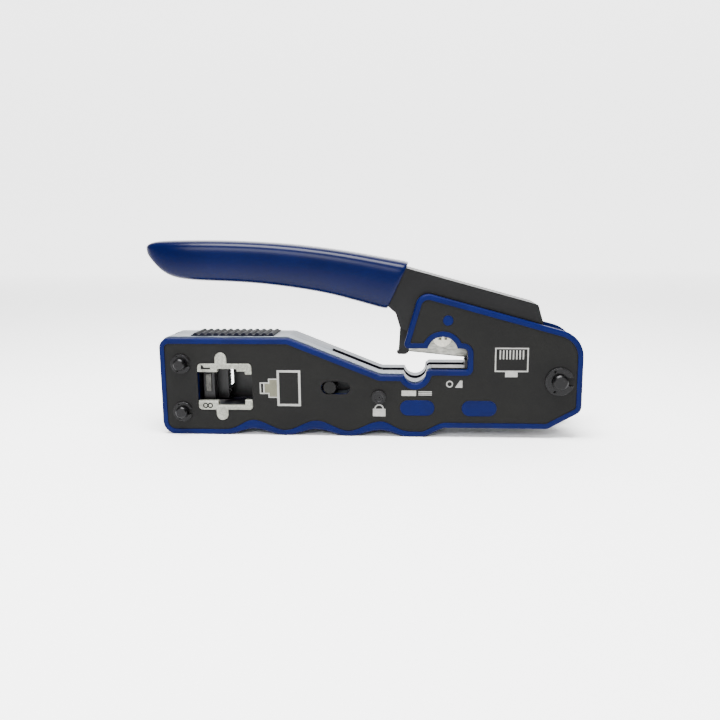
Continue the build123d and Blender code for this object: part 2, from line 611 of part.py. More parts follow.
# ---------------------------------------------------------------- return spring
# A torsion spring wound on the bush: one leg on the anvil side, one on the channel's web.
WIRE_R = 0.5
COIL_R = PIVOT_R + 0.6 + WIRE_R + 0.2
with BuildPart() as return_spring:
    with BuildLine() as coil:
        Helix(pitch=1.3, height=5.2, radius=COIL_R, center=(PIVOT_X, -2.6, PIVOT_Z), direction=(0, 1, 0))
    with BuildSketch(Plane(origin=coil.line @ 0, z_dir=coil.line % 0)):
        Circle(WIRE_R)
    sweep(path=coil.line)

# ---------------------------------------------------------------- ram
RAM_L, RAM_WIN_L, RAM_WIN_R = -56.6, -50.6, -34.2
RAM_WIN_B, RAM_WIN_T = 9.6, 23.6
BAR_LOW, BAR_TOP = 4.6, 10.6
RAM_TOP = BODY_TOP - 3.0   # clears the spacer over it
DRAW_CORNERS = [
    (RAM_L, 3.8, 1.5), (-41.0, 3.8, 0), (-38.0, BAR_LOW, 0), (CRANK_X - 1, BAR_LOW + 2.5, 0),
    (CRANK_X - 1, CRANK_Z + 3.0, 0), (54.0, BAR_TOP, 2.0), (-19.5, BAR_TOP, 2.0),
    (-28.0, RAM_TOP, 2.0), (RAM_L, RAM_TOP, 1.5)]
EYE_R = 3.3
with BuildPart() as drawbar:
    with BuildSketch(at_y(SLIDER_HALF)):
        add(rounded(DRAW_CORNERS))
        with Locations((CRANK_X, CRANK_Z)):
            Circle(EYE_R)
        with Locations(((RAM_WIN_L + RAM_WIN_R) / 2, (RAM_WIN_B + RAM_WIN_T) / 2)):
            Rectangle(RAM_WIN_R - RAM_WIN_L, RAM_WIN_T - RAM_WIN_B, mode=Mode.SUBTRACT)
        with Locations((CRANK_X, CRANK_Z + 0.05)):
            SlotCenterToCenter(0.3, 2 * (CRANK_PIN_R + 0.03), rotation=90, mode=Mode.SUBTRACT)
    extrude(amount=2 * SLIDER_HALF)

# Black holder that clamps the comb and the trimming blade to the bar's left arm.
HOLD_B, HOLD_T = 11.0, 22.2
with BuildPart() as comb_holder:
    with Locations(((RAM_WIN_L - 53.6) / 2 + 0.4, -SLIDER_HALF - 2.0, (HOLD_B + HOLD_T) / 2)):
        Box(53.6 + RAM_WIN_L + 0.8, 4.0, HOLD_T - HOLD_B)

# Bright bar screwed over the holder's face.
with BuildPart() as comb_clamp:
    with Locations((-51.8, -SLIDER_HALF - 4.0 - 0.3, 17.4)):
        Box(2.0, 0.6, 6.0)
        chamfer(comb_clamp.edges().filter_by(Axis.Z).group_by(Axis.Y)[0], 0.2)

COMB_TIP = -45.6
TOOTH = 0.42
TOOTH_PITCH = 1.02
with BuildPart() as crimp_comb:
    with Locations(((RAM_WIN_L + COMB_TIP - TOOTH) / 2, 0, (HOLD_B + HOLD_T) / 2)):
        Box(COMB_TIP - TOOTH - RAM_WIN_L, 2 * SLIDER_HALF - 0.2, HOLD_T - HOLD_B)
    with Locations((COMB_TIP - 0.55, 0, (HOLD_B + HOLD_T) / 2)):
        for i in range(8):
            with Locations((0, 0, (i - 3.5) * TOOTH_PITCH)):
                Box(1.1, 2.4, TOOTH)

with BuildPart() as trim_blade:
    with BuildSketch(at_y(SLIDER_HALF + 1.0)):
        with BuildLine():
            Polyline((-53.4, HOLD_B), (-49.4, HOLD_B), (-48.6, (HOLD_B + HOLD_T) / 2),
                     (-49.4, HOLD_T), (-53.4, HOLD_T), close=True)
        make_face()
    extrude(amount=1.0)

# ---------------------------------------------------------------- lock
BEAK_LOW, BEAK_TOP = 20.35, 21.0                   # the beak slides over the finger's catch
BEAK_TIP, BEAK_WALL = 7.9, 7.4
LOCK_L = SLOT_L - LOCK_TRAVEL - 0.6                  # the bar still fills the knob's slot when it is across
LOCK_CORNERS = [
    (LOCK_L, 11.3, 1.0), (10.2, 11.3, 1.0), (10.2, 16.0, 1.0), (BEAK_WALL, 16.6, 0),
    (BEAK_WALL, BEAK_LOW, 0), (BEAK_TIP, BEAK_LOW, 0), (BEAK_TIP, BEAK_TOP, 0.2),
    (4.0, BEAK_TOP, 0.4), (1.6, 20.0, 1.0), (LOCK_L, 20.0, 1.0)]
with BuildPart() as lock_bar:
    with BuildSketch(at_y(SLIDER_HALF)):
        add(rounded(LOCK_CORNERS))
        with Locations((LOCK_PIN_X - LOCK_TRAVEL / 2, LOCK_PIN_Z)):
            SlotCenterToCenter(LOCK_TRAVEL + 0.2, 2 * (LOCK_PIN_R + 0.08), mode=Mode.SUBTRACT)
        with Locations((KNOB_X, KNOB_Z)):
            Circle(1.25, mode=Mode.SUBTRACT)
    extrude(amount=2 * SLIDER_HALF)

with BuildPart() as lock_knob:
    with BuildSketch(at_y(SLIDER_HALF)):
        with Locations((KNOB_X, KNOB_Z)):
            Circle(1.2)
    extrude(amount=2 * SLIDER_HALF)
    for side in (-1, 1):
        with Locations((KNOB_X, side * (SLIDER_HALF + PLATE_FACE - 0.3) / 2, KNOB_Z)):
            Cylinder(KNOB_R, PLATE_FACE - 0.3 - SLIDER_HALF, rotation=(90, 0, 0))

# ---------------------------------------------------------------- files
save(front_cover.part, "front_cover")
save(rear_cover.part, "rear_cover")
save(front_plate.part, "front_plate")
save(rear_plate.part, "rear_plate")
save(front_shell.part, "front_shell")
save(rear_shell.part, "rear_shell")
save(slot_spacer.part, "slot_spacer")
save(thumb_pad.part, "thumb_pad")
save(upper_guide.part, "upper_guide")
save(lower_guide.part, "lower_guide")
save(plug_stop.part, "plug_stop")
save(cutter_anvil.part, "cutter_anvil")
save(die_pins.part, "die_pins")
save(die_clips.part, "die_clips")
save(pivot_pin.part, "pivot_pin")
save(pivot_clips.part, "pivot_clips")
save(lock_guide_pin.part, "lock_guide_pin")
save(return_spring.part, "return_spring")
save(handle_frame.part, "handle_frame")
save(handle_grip.part, "handle_grip")
save(latch_plate.part, "latch_plate")
save(plate_rivets.part, "plate_rivets")
save(cutter_blade.part, "cutter_blade")
save(blade_disc.part, "blade_disc")
save(crank_pin.part, "crank_pin")
save(pivot_bush.part, "pivot_bush")
save(drawbar.part, "drawbar")
save(comb_holder.part, "comb_holder")
save(comb_clamp.part, "comb_clamp")
save(crimp_comb.part, "crimp_comb")
save(trim_blade.part, "trim_blade")
save(lock_bar.part, "lock_bar")
save(lock_knob.part, "lock_knob")
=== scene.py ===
import math

import bmesh
import bpy
from mathutils import Matrix, Vector


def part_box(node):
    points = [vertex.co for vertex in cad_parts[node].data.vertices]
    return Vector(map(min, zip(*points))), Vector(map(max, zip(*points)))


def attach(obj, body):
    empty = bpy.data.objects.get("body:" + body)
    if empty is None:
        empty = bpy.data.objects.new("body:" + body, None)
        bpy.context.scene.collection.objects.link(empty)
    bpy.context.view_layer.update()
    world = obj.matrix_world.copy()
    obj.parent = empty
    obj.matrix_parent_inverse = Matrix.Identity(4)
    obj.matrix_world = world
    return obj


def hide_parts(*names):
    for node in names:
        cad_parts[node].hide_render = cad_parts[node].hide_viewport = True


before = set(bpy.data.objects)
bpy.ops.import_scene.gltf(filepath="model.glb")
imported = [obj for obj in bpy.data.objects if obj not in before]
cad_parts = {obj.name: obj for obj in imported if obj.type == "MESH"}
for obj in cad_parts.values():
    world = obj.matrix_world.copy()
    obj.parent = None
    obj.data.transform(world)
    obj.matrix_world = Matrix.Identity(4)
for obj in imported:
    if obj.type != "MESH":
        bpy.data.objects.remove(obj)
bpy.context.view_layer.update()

MM = 0.001

# ---- Shells -------------------------------------------------------------
# Two pressed aluminium halves that carry every pin of the tool. They are
# tumbled to a soft satin, so their own marks are only fine grain and rubbed edges; the slot walls and plug
# nest carry painted shade.


def ink(red, green, blue):
    """Linear colour for the shader sockets from 0-255 display values."""
    return tuple(((v / 255) / 12.92 if v <= 10 else ((v / 255 + 0.055) / 1.055) ** 2.4)
                 for v in (red, green, blue)) + (1.0,)


def new_group(name, inputs, outputs):
    """An empty shader node group with named sockets."""
    group = bpy.data.node_groups.new(name, "ShaderNodeTree")
    for label, kind, value in inputs:
        socket = group.interface.new_socket(label, in_out="INPUT", socket_type=kind)
        if value is not None:
            socket.default_value = value
    for label, kind in outputs:
        group.interface.new_socket(label, in_out="OUTPUT", socket_type=kind)
    return group, group.nodes.new("NodeGroupInput"), group.nodes.new("NodeGroupOutput")


def rubbed_edge_group():
    """Rounds sharp edges in shading and gives a mask of where hands rub them."""
    group, start, end = new_group(
        "rubbed_edges",
        [("Radius", "NodeSocketFloat", 0.00015), ("Spread", "NodeSocketFloat", 6.0),
         ("Patchiness", "NodeSocketFloat", 260.0)],
        [("Mask", "NodeSocketFloat"), ("Normal", "NodeSocketVector")])
    nodes, links = group.nodes, group.links
    bevel = nodes.new("ShaderNodeBevel")
    bevel.samples = 6
    geometry = nodes.new("ShaderNodeNewGeometry")
    dot = nodes.new("ShaderNodeVectorMath")
    dot.operation = "DOT_PRODUCT"
    turn = nodes.new("ShaderNodeMath")
    turn.operation = "SUBTRACT"
    turn.inputs[0].default_value = 1.0
    gain = nodes.new("ShaderNodeMath")
    gain.operation = "MULTIPLY"
    coords = nodes.new("ShaderNodeTexCoord")
    patches = nodes.new("ShaderNodeTexNoise")
    patches.inputs["Detail"].default_value = 4.0
    cut = nodes.new("ShaderNodeMapRange")
    cut.inputs["From Min"].default_value = 0.42
    cut.inputs["From Max"].default_value = 0.68
    mask = nodes.new("ShaderNodeMath")
    mask.operation = "MULTIPLY"
    mask.use_clamp = True
    links.new(start.outputs["Radius"], bevel.inputs["Radius"])
    links.new(bevel.outputs["Normal"], dot.inputs[0])
    links.new(geometry.outputs["Normal"], dot.inputs[1])
    links.new(dot.outputs["Value"], turn.inputs[1])
    links.new(turn.outputs[0], gain.inputs[0])
    links.new(start.outputs["Spread"], gain.inputs[1])
    links.new(coords.outputs["Object"], patches.inputs["Vector"])
    links.new(start.outputs["Patchiness"], patches.inputs["Scale"])
    links.new(patches.outputs["Fac"], cut.inputs["Value"])
    links.new(gain.outputs[0], mask.inputs[0])
    links.new(cut.outputs["Result"], mask.inputs[1])
    links.new(mask.outputs[0], end.inputs["Mask"])
    links.new(bevel.outputs["Normal"], end.inputs["Normal"])
    return group


def grain_group():
    """Fine grain over a slower mottle, both as plain values."""
    group, start, end = new_group(
        "grain_and_mottle",
        [("Grain size", "NodeSocketFloat", 3000.0), ("Mottle size", "NodeSocketFloat", 120.0),
         ("Stretch", "NodeSocketVector", (1.0, 1.0, 1.0))],
        [("Grain", "NodeSocketFloat"), ("Mottle", "NodeSocketFloat")])
    nodes, links = group.nodes, group.links
    coords = nodes.new("ShaderNodeTexCoord")
    pull = nodes.new("ShaderNodeVectorMath")
    pull.operation = "MULTIPLY"
    grain = nodes.new("ShaderNodeTexNoise")
    grain.inputs["Detail"].default_value = 3.0
    grain.inputs["Roughness"].default_value = 0.62
    mottle = nodes.new("ShaderNodeTexNoise")
    mottle.inputs["Detail"].default_value = 5.0
    links.new(coords.outputs["Object"], pull.inputs[0])
    links.new(start.outputs["Stretch"], pull.inputs[1])
    links.new(pull.outputs[0], grain.inputs["Vector"])
    links.new(coords.outputs["Object"], mottle.inputs["Vector"])
    links.new(start.outputs["Grain size"], grain.inputs["Scale"])
    links.new(start.outputs["Mottle size"], mottle.inputs["Scale"])
    links.new(grain.outputs["Fac"], end.inputs["Grain"])
    links.new(mottle.outputs["Fac"], end.inputs["Mottle"])
    return group


RUBBED = rubbed_edge_group()
GRAIN = grain_group()


def finish_of(name, deep, pale, worn, rough, rough_swing=0.12, metal=0.0, grain=3000.0, mottle=120.0,
              relief=0.00002, stretch=(1, 1, 1), edge=0.00015, spread=6.0, speck=0.35, specular=0.5):
    """A finished surface: mottled colour, grain in colour and relief, and rubbed edges."""
    material = bpy.data.materials.new(name)
    material.use_nodes = True
    nodes, links = material.node_tree.nodes, material.node_tree.links
    shader = nodes["Principled BSDF"]
    shader.inputs["Metallic"].default_value = metal
    shader.inputs["Specular IOR Level"].default_value = specular
    rubbed = nodes.new("ShaderNodeGroup")
    rubbed.node_tree = RUBBED
    rubbed.inputs["Radius"].default_value = edge
    rubbed.inputs["Spread"].default_value = spread
    grains = nodes.new("ShaderNodeGroup")
    grains.node_tree = GRAIN
    grains.inputs["Grain size"].default_value = grain
    grains.inputs["Mottle size"].default_value = mottle
    grains.inputs["Stretch"].default_value = stretch
    blend = nodes.new("ShaderNodeMapRange")
    blend.inputs["From Min"].default_value = 0.3
    blend.inputs["From Max"].default_value = 0.7
    links.new(grains.outputs["Mottle"], blend.inputs["Value"])
    body = nodes.new("ShaderNodeMix")
    body.data_type = "RGBA"
    body.inputs["A"].default_value = deep
    body.inputs["B"].default_value = pale
    links.new(blend.outputs["Result"], body.inputs["Factor"])
    specks = nodes.new("ShaderNodeMapRange")
    specks.inputs["From Min"].default_value = 0.35
    specks.inputs["From Max"].default_value = 0.65
    specks.inputs["To Min"].default_value = 1.0 - speck
    specks.inputs["To Max"].default_value = 1.0 + speck
    links.new(grains.outputs["Grain"], specks.inputs["Value"])
    grained = nodes.new("ShaderNodeVectorMath")
    grained.operation = "SCALE"
    links.new(body.outputs["Result"], grained.inputs[0])
    links.new(specks.outputs["Result"], grained.inputs["Scale"])
    aged = nodes.new("ShaderNodeMix")
    aged.data_type = "RGBA"
    aged.inputs["B"].default_value = worn
    links.new(rubbed.outputs["Mask"], aged.inputs["Factor"])
    links.new(grained.outputs[0], aged.inputs["A"])
    links.new(aged.outputs["Result"], shader.inputs["Base Color"])
    sheen = nodes.new("ShaderNodeMapRange")
    sheen.inputs["To Min"].default_value = rough - rough_swing
    sheen.inputs["To Max"].default_value = rough + rough_swing
    links.new(grains.outputs["Mottle"], sheen.inputs["Value"])
    links.new(sheen.outputs["Result"], shader.inputs["Roughness"])
    bump = nodes.new("ShaderNodeBump")
    bump.inputs["Distance"].default_value = relief
    links.new(grains.outputs["Grain"], bump.inputs["Height"])
    links.new(rubbed.outputs["Normal"], bump.inputs["Normal"])
    links.new(bump.outputs["Normal"], shader.inputs["Normal"])
    return material


def dress(material, *names):
    """Give CAD nodes their finish."""
    for name in names:
        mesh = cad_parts[name].data
        mesh.materials.clear()
        mesh.materials.append(material)


satin_aluminium = finish_of(
    "satin_aluminium", ink(72, 79, 89), ink(97, 104, 114), ink(170, 176, 184), 0.36,
    metal=0.5, grain=2600, mottle=140, relief=0.000012, stretch=(1, 0.25, 1), edge=0.0002, speck=0.12,
    specular=0.12)


def paint_shade_inside(material, outputs):
    """Paint shade: darken the base colour where a 0-1 value says the surface lies inside the tool."""
    nodes, links = material.node_tree.nodes, material.node_tree.links
    shader = nodes["Principled BSDF"]
    colour_before_shade = shader.inputs["Base Color"].links[0].from_socket
    shade = nodes.new("ShaderNodeMix")
    shade.data_type = "RGBA"
    # The colour of the painted shade.
    shade.inputs["B"].default_value = ink(12, 13, 24)
    links.new(outputs, shade.inputs["Factor"])
    links.new(colour_before_shade, shade.inputs["A"])
    links.new(shade.outputs["Result"], shader.inputs["Base Color"])


def inside_group():
    """One inside the plug nest or on the walls of the centre slot, zero elsewhere: where the painted shade
    goes.
    """
    group, start, end = new_group(
        "inside_mask",
        [("Slot half width", "NodeSocketFloat", 0.0027),
         ("Nest centre", "NodeSocketVector", (-0.0452, 0, 0.0166)),
         ("Nest half size", "NodeSocketVector", (0.0098, 1.0, 0.0074))],
        [("Mask", "NodeSocketFloat")])
    nodes, links = group.nodes, group.links
    coords = nodes.new("ShaderNodeTexCoord")
    split = nodes.new("ShaderNodeSeparateXYZ")
    links.new(coords.outputs["Object"], split.inputs[0])
    depth = nodes.new("ShaderNodeMath")
    depth.operation = "ABSOLUTE"
    links.new(split.outputs["Y"], depth.inputs[0])
    in_slot = nodes.new("ShaderNodeMath")
    in_slot.operation = "LESS_THAN"
    links.new(depth.outputs[0], in_slot.inputs[0])
    links.new(start.outputs["Slot half width"], in_slot.inputs[1])
    off = nodes.new("ShaderNodeVectorMath")
    off.operation = "SUBTRACT"
    links.new(coords.outputs["Object"], off.inputs[0])
    links.new(start.outputs["Nest centre"], off.inputs[1])
    size = nodes.new("ShaderNodeVectorMath")
    size.operation = "ABSOLUTE"
    links.new(off.outputs[0], size.inputs[0])
    share = nodes.new("ShaderNodeVectorMath")
    share.operation = "DIVIDE"
    links.new(size.outputs[0], share.inputs[0])
    links.new(start.outputs["Nest half size"], share.inputs[1])
    parts = nodes.new("ShaderNodeSeparateXYZ")
    links.new(share.outputs[0], parts.inputs[0])
    larger = nodes.new("ShaderNodeMath")
    larger.operation = "MAXIMUM"
    links.new(parts.outputs["X"], larger.inputs[0])
    links.new(parts.outputs["Z"], larger.inputs[1])
    in_nest = nodes.new("ShaderNodeMath")
    in_nest.operation = "LESS_THAN"
    in_nest.inputs[1].default_value = 1.0
    links.new(larger.outputs[0], in_nest.inputs[0])
    either = nodes.new("ShaderNodeMath")
    either.operation = "MAXIMUM"
    links.new(in_slot.outputs[0], either.inputs[0])
    links.new(in_nest.outputs[0], either.inputs[1])
    links.new(either.outputs[0], end.inputs["Mask"])
    return group


# Painted shade: the shells turn near black on the walls of the centre slot and inside the plug nest.
inside = satin_aluminium.node_tree.nodes.new("ShaderNodeGroup")
inside.node_tree = inside_group()
paint_shade_inside(satin_aluminium, inside.outputs["Mask"])
dress(satin_aluminium, "front_shell", "rear_shell")

# The spacer is the same metal without the painted shade.
plain_aluminium = finish_of(
    "plain_aluminium", ink(70, 77, 87), ink(94, 101, 111), ink(170, 176, 184), 0.38,
    metal=0.5, grain=2600, mottle=140, relief=0.000012, stretch=(1, 0.25, 1), edge=0.0002, speck=0.12,
    specular=0.12)
dress(plain_aluminium, "slot_spacer")

# ---- Covers -------------------------------------------------------------
# Blue nylon dishes, injection moulded with a fine spark-eroded texture. Their
# rims stand round the face plates, and the ovals are bosses of the same piece.

blue_nylon = finish_of(
    "blue_nylon", ink(0, 6, 47), ink(0, 9, 58), ink(24, 44, 112), 0.42,
    rough_swing=0.06, grain=2200, mottle=90, relief=0.000008, edge=0.00025, spread=1.2,
    speck=0.10, specular=0.07)
dress(blue_nylon, "front_cover", "rear_cover")

# ---- Face plates --------------------------------------------------------
# Sheet steel with a fine matt black powder coat, lying in the covers' dishes.

black_powder = finish_of(
    "black_powder_coat", ink(12, 12, 12), ink(17, 17, 16), ink(50, 50, 48), 0.62,
    rough_swing=0.08, grain=3600, mottle=60, relief=0.00003, edge=0.00012, spread=2.0,
    speck=0.5, specular=0.10)
dress(black_powder, "front_plate", "rear_plate")

# ---- Printed marks ------------------------------------------------------
# Pale grey pad-printed ink on the front plate: plain pictures of what each
# station does. Every mark is a film of ink a few hundredths thick.

PLATE_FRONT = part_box("front_plate")[0][1]
INK_FILM = 0.03 * MM

pale_ink = finish_of(
    "pale_printing_ink", ink(116, 116, 113), ink(136, 136, 132), ink(150, 150, 146), 0.5,
    grain=2600, mottle=300, relief=0.00001, edge=0.00001, spread=0.0, speck=0.12)
olive_ink = finish_of(
    "olive_printing_ink", ink(66, 65, 50), ink(80, 79, 62), ink(90, 90, 72), 0.55,
    grain=2600, mottle=300, relief=0.00001, edge=0.00001, spread=0.0, speck=0.14)


def solid_from_outlines(name, outlines, back, front, material):
    """Closed prisms drawn in X and Z (millimetres), between two depths in metres."""
    mesh = bpy.data.meshes.new(name)
    build = bmesh.new()
    for outline in outlines:
        far = [build.verts.new((x * MM, back, z * MM)) for x, z in outline]
        near = [build.verts.new((x * MM, front, z * MM)) for x, z in outline]
        build.faces.new(far)
        build.faces.new(list(reversed(near)))
        count = len(outline)
        for i in range(count):
            j = (i + 1) % count
            build.faces.new((far[i], near[i], near[j], far[j]))
    bmesh.ops.recalc_face_normals(build, faces=build.faces)
    build.to_mesh(mesh)
    build.free()
    mesh.materials.append(material)
    piece = bpy.data.objects.new(name, mesh)
    bpy.context.scene.collection.objects.link(piece)
    return piece


def bar(x0, z0, x1, z1):
    """Upright rectangle."""
    return [(x0, z0), (x1, z0), (x1, z1), (x0, z1)]


def outline_box(x0, z0, x1, z1, width):
    """Four bars that meet edge to edge round a rectangle."""
    return [bar(x0, z0, x1, z0 + width), bar(x0, z1 - width, x1, z1),
            bar(x0, z0 + width, x0 + width, z1 - width), bar(x1 - width, z0 + width, x1, z1 - width)]


def ring_band(cx, cz, radius, width, start=0.0, end=360.0, steps=28):
    """Quads that follow an arc of a ring."""
    quads = []
    for i in range(steps):
        a = math.radians(start + (end - start) * i / steps)
        b = math.radians(start + (end - start) * (i + 1) / steps)
        inner, outer = radius - width / 2, radius + width / 2
        quads.append([(cx + inner * math.cos(a), cz + inner * math.sin(a)),
                      (cx + outer * math.cos(a), cz + outer * math.sin(a)),
                      (cx + outer * math.cos(b), cz + outer * math.sin(b)),
                      (cx + inner * math.cos(b), cz + inner * math.sin(b))])
    return quads


def printed(name, outlines, material=pale_ink, lift=0.0):
    """Print outlines on the front plate."""
    piece = solid_from_outlines(name, outlines, PLATE_FRONT - lift, PLATE_FRONT - lift - INK_FILM, material)
    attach(piece, "body")
    return piece


# The plug picture beside the nest: body outline, latch block and cable end.
printed("print_plug_box", outline_box(-27.3, 10.2, -19.3, 22.5, 0.75)
        + outline_box(-33.2, 14.3, -31.6, 18.3, 0.42)
        + [bar(-31.6, 17.9, -29.9, 18.3), bar(-30.3, 18.3, -29.9, 19.6), bar(-29.9, 19.25, -27.3, 19.6),
           bar(-31.6, 14.3, -29.9, 14.7), bar(-30.3, 13.0, -29.9, 14.3), bar(-29.9, 13.0, -27.3, 13.35)])
printed("print_plug_latch", [bar(-29.9, 13.35, -27.3, 19.25), bar(-31.6, 14.7, -29.9, 17.9)], olive_ink)

# Padlock picture under the lock pin.
printed("print_padlock", [bar(5.0, 7.0, 9.2, 9.6)] + ring_band(7.1, 9.6, 1.35, 0.45, 0, 180, 14))

# Stripping picture over the left oval: a cable end with its jacket drawn back.
printed("print_strip", [bar(14.6, 14.1, 19.4, 15.9), bar(20.2, 14.3, 24.6, 14.6),
                        bar(20.2, 14.85, 24.6, 15.15), bar(20.2, 15.4, 24.6, 15.7)])

# Cutting picture under the cutting land: a blade over a cable section.
printed("print_cut", ring_band(30.4, 18.2, 0.95, 0.4, 0, 360, 20)
        + [[(32.2, 17.0), (34.6, 17.0), (34.6, 19.4), (33.8, 19.4)]])


def contact_picture_tree():
    """Geometry nodes: a row of equal upright strokes."""
    tree = bpy.data.node_groups.new("contact_strokes", "GeometryNodeTree")
    tree.interface.new_socket("Geometry", in_out="INPUT", socket_type="NodeSocketGeometry")
    for label, kind, value in (("Count", "NodeSocketInt", 8), ("Pitch", "NodeSocketFloat", 0.00102),
                               ("Width", "NodeSocketFloat", 0.00045), ("Height", "NodeSocketFloat", 0.002),
                               ("Film", "NodeSocketFloat", 0.00003), ("First", "NodeSocketVector", (0, 0, 0)),
                               ("Ink", "NodeSocketMaterial", None)):
        socket = tree.interface.new_socket(label, in_out="INPUT", socket_type=kind)
        if value is not None:
            socket.default_value = value
    tree.interface.new_socket("Geometry", in_out="OUTPUT", socket_type="NodeSocketGeometry")
    nodes, links = tree.nodes, tree.links
    start, end = nodes.new("NodeGroupInput"), nodes.new("NodeGroupOutput")
    step = nodes.new("ShaderNodeCombineXYZ")
    row = nodes.new("GeometryNodeMeshLine")
    size = nodes.new("ShaderNodeCombineXYZ")
    cube = nodes.new("GeometryNodeMeshCube")
    spread = nodes.new("GeometryNodeInstanceOnPoints")
    real = nodes.new("GeometryNodeRealizeInstances")
    paint = nodes.new("GeometryNodeSetMaterial")
    links.new(start.outputs["Pitch"], step.inputs["X"])
    links.new(start.outputs["Count"], row.inputs["Count"])
    links.new(start.outputs["First"], row.inputs["Start Location"])
    links.new(step.outputs[0], row.inputs["Offset"])
    links.new(start.outputs["Width"], size.inputs["X"])
    links.new(start.outputs["Film"], size.inputs["Y"])
    links.new(start.outputs["Height"], size.inputs["Z"])
    links.new(size.outputs[0], cube.inputs["Size"])
    links.new(row.outputs[0], spread.inputs["Points"])
    links.new(cube.outputs[0], spread.inputs["Instance"])
    links.new(spread.outputs[0], real.inputs[0])
    links.new(real.outputs[0], paint.inputs["Geometry"])
    links.new(start.outputs["Ink"], paint.inputs["Material"])
    links.new(paint.outputs[0], end.inputs[0])
    return tree


def grown(name, tree, settings):
    """Run a geometry node tree with named settings and keep its result as a plain mesh."""
    seed = bpy.data.objects.new(name + "_seed", bpy.data.meshes.new(name + "_seed"))
    bpy.context.scene.collection.objects.link(seed)
    modifier = seed.modifiers.new("grow", "NODES")
    modifier.node_group = tree
    for item in tree.interface.items_tree:
        if item.item_type == "SOCKET" and item.in_out == "INPUT" and item.name in settings:
            modifier[item.identifier] = settings[item.name]
    bpy.context.view_layer.update()
    depsgraph = bpy.context.evaluated_depsgraph_get()
    mesh = bpy.data.meshes.new_from_object(seed.evaluated_get(depsgraph))
    mesh.name = name
    bpy.data.objects.remove(seed)
    piece = bpy.data.objects.new(name, mesh)
    bpy.context.scene.collection.objects.link(piece)
    return piece


# Picture for the plug type on the right: a plug seen from its contacts.
printed("print_plug_face", outline_box(45.0, 22.4, 55.8, 30.4, 0.42)
        + [bar(48.4, 20.7, 52.4, 22.4)])
contact_row = grown("print_plug_contacts", contact_picture_tree(), {
    "Count": 8, "Pitch": 1.06 * MM, "Width": 0.45 * MM, "Height": 3.0 * MM, "Film": INK_FILM,
    "First": (46.69 * MM, PLATE_FRONT - INK_FILM / 2, 28.1 * MM), "Ink": pale_ink})
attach(contact_row, "body")

# ---- Plug guides --------------------------------------------------------
# Two sintered steel inserts, bead blasted, with the pin numbers of the
# plug's first and last contact rolled into them and filled with dark ink.

blasted_steel = finish_of(
    "bead_blasted_steel", ink(104, 105, 97), ink(136, 137, 128), ink(186, 186, 178), 0.50,
    metal=0.55, grain=2400, mottle=260, relief=0.00004, edge=0.0002, spread=3.0, speck=0.34)
dress(blasted_steel, "upper_guide", "lower_guide")

GUIDE_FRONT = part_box("upper_guide")[0][1]
number_ink = finish_of("number_ink", ink(4, 4, 4), ink(8, 8, 8), ink(12, 12, 12), 0.7,
                       grain=2600, relief=0.00001, edge=0.00001, spread=0.0, specular=0.1)
one = [bar(-53.2, 22.7, -50.0, 23.3), [(-53.2, 23.3), (-52.2, 23.3), (-52.6, 24.1), (-53.2, 24.1)]]
eight = ring_band(-52.1, 10.15, 0.74, 0.42, steps=20) + ring_band(-50.5, 10.15, 0.74, 0.42, steps=20)
for label, outline in (("number_one", one), ("number_eight", eight)):
    figure = solid_from_outlines(label, outline, GUIDE_FRONT, GUIDE_FRONT - 0.02 * MM, number_ink)
    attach(figure, "body")

# ---- Pins and snap rings ------------------------------------------------
# Hardened pins with a black oxide finish, held by snap rings on both faces.

black_oxide = finish_of(
    "black_oxide", ink(9, 9, 10), ink(14, 14, 15), ink(70, 70, 72), 0.30,
    metal=0.75, grain=2600, mottle=400, relief=0.00001, edge=0.00018, spread=5.0, speck=0.25)
dress(black_oxide, "die_pins", "die_clips", "pivot_pin", "pivot_clips", "lock_guide_pin", "crank_pin")

# ---- Ram and nest insides -----------------------------------------------
# Blackened steel: the drawbar that pulls the comb, its holder, the plug stop
# and the anvil under the blade. The lock bar is the same stock.

blackened_steel = finish_of(
    "blackened_steel", ink(13, 13, 14), ink(20, 20, 21), ink(90, 90, 92), 0.36,
    metal=0.6, grain=2200, mottle=200, relief=0.000015, edge=0.0002, spread=4.0, speck=0.3)
dress(blackened_steel, "drawbar", "comb_holder", "crimp_comb", "plug_stop", "cutter_anvil", "lock_bar")

ground_steel = finish_of(
    "ground_tool_steel", ink(112, 112, 106), ink(140, 140, 134), ink(215, 215, 212), 0.38,
    metal=0.8, grain=1500, mottle=320, relief=0.00002, stretch=(0.3, 1, 1), edge=0.00012, speck=0.34)
dress(ground_steel, "trim_blade", "cutter_blade", "pivot_bush")

dull_steel = finish_of(
    "dull_clamp_steel", ink(48, 48, 46), ink(74, 74, 70), ink(150, 150, 146), 0.45,
    metal=0.7, grain=1500, mottle=420, relief=0.00003, edge=0.0002, speck=0.3)
dress(dull_steel, "comb_clamp")

nickel = finish_of(
    "satin_nickel", ink(190, 186, 172), ink(214, 211, 198), ink(236, 234, 224), 0.44,
    metal=0.35, grain=1500, mottle=500, relief=0.00004, edge=0.0002, speck=0.16)
dress(nickel, "blade_disc")

# ---- Lock knob ----------------------------------------------------------
# A turned button on the lock bar, black like the plate.

knob_black = finish_of(
    "knob_black", ink(8, 8, 8), ink(13, 13, 13), ink(48, 48, 48), 0.5,
    grain=2600, relief=0.00001, edge=0.0003, speck=0.2, specular=0.12)
dress(knob_black, "lock_knob")

# ---- Thumb pad ----------------------------------------------------------
# A navy nylon pad fixed over the left block, with twelve cross ribs that are
# round over the top and at their ends.

PAD_LOW, PAD_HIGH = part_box("thumb_pad")


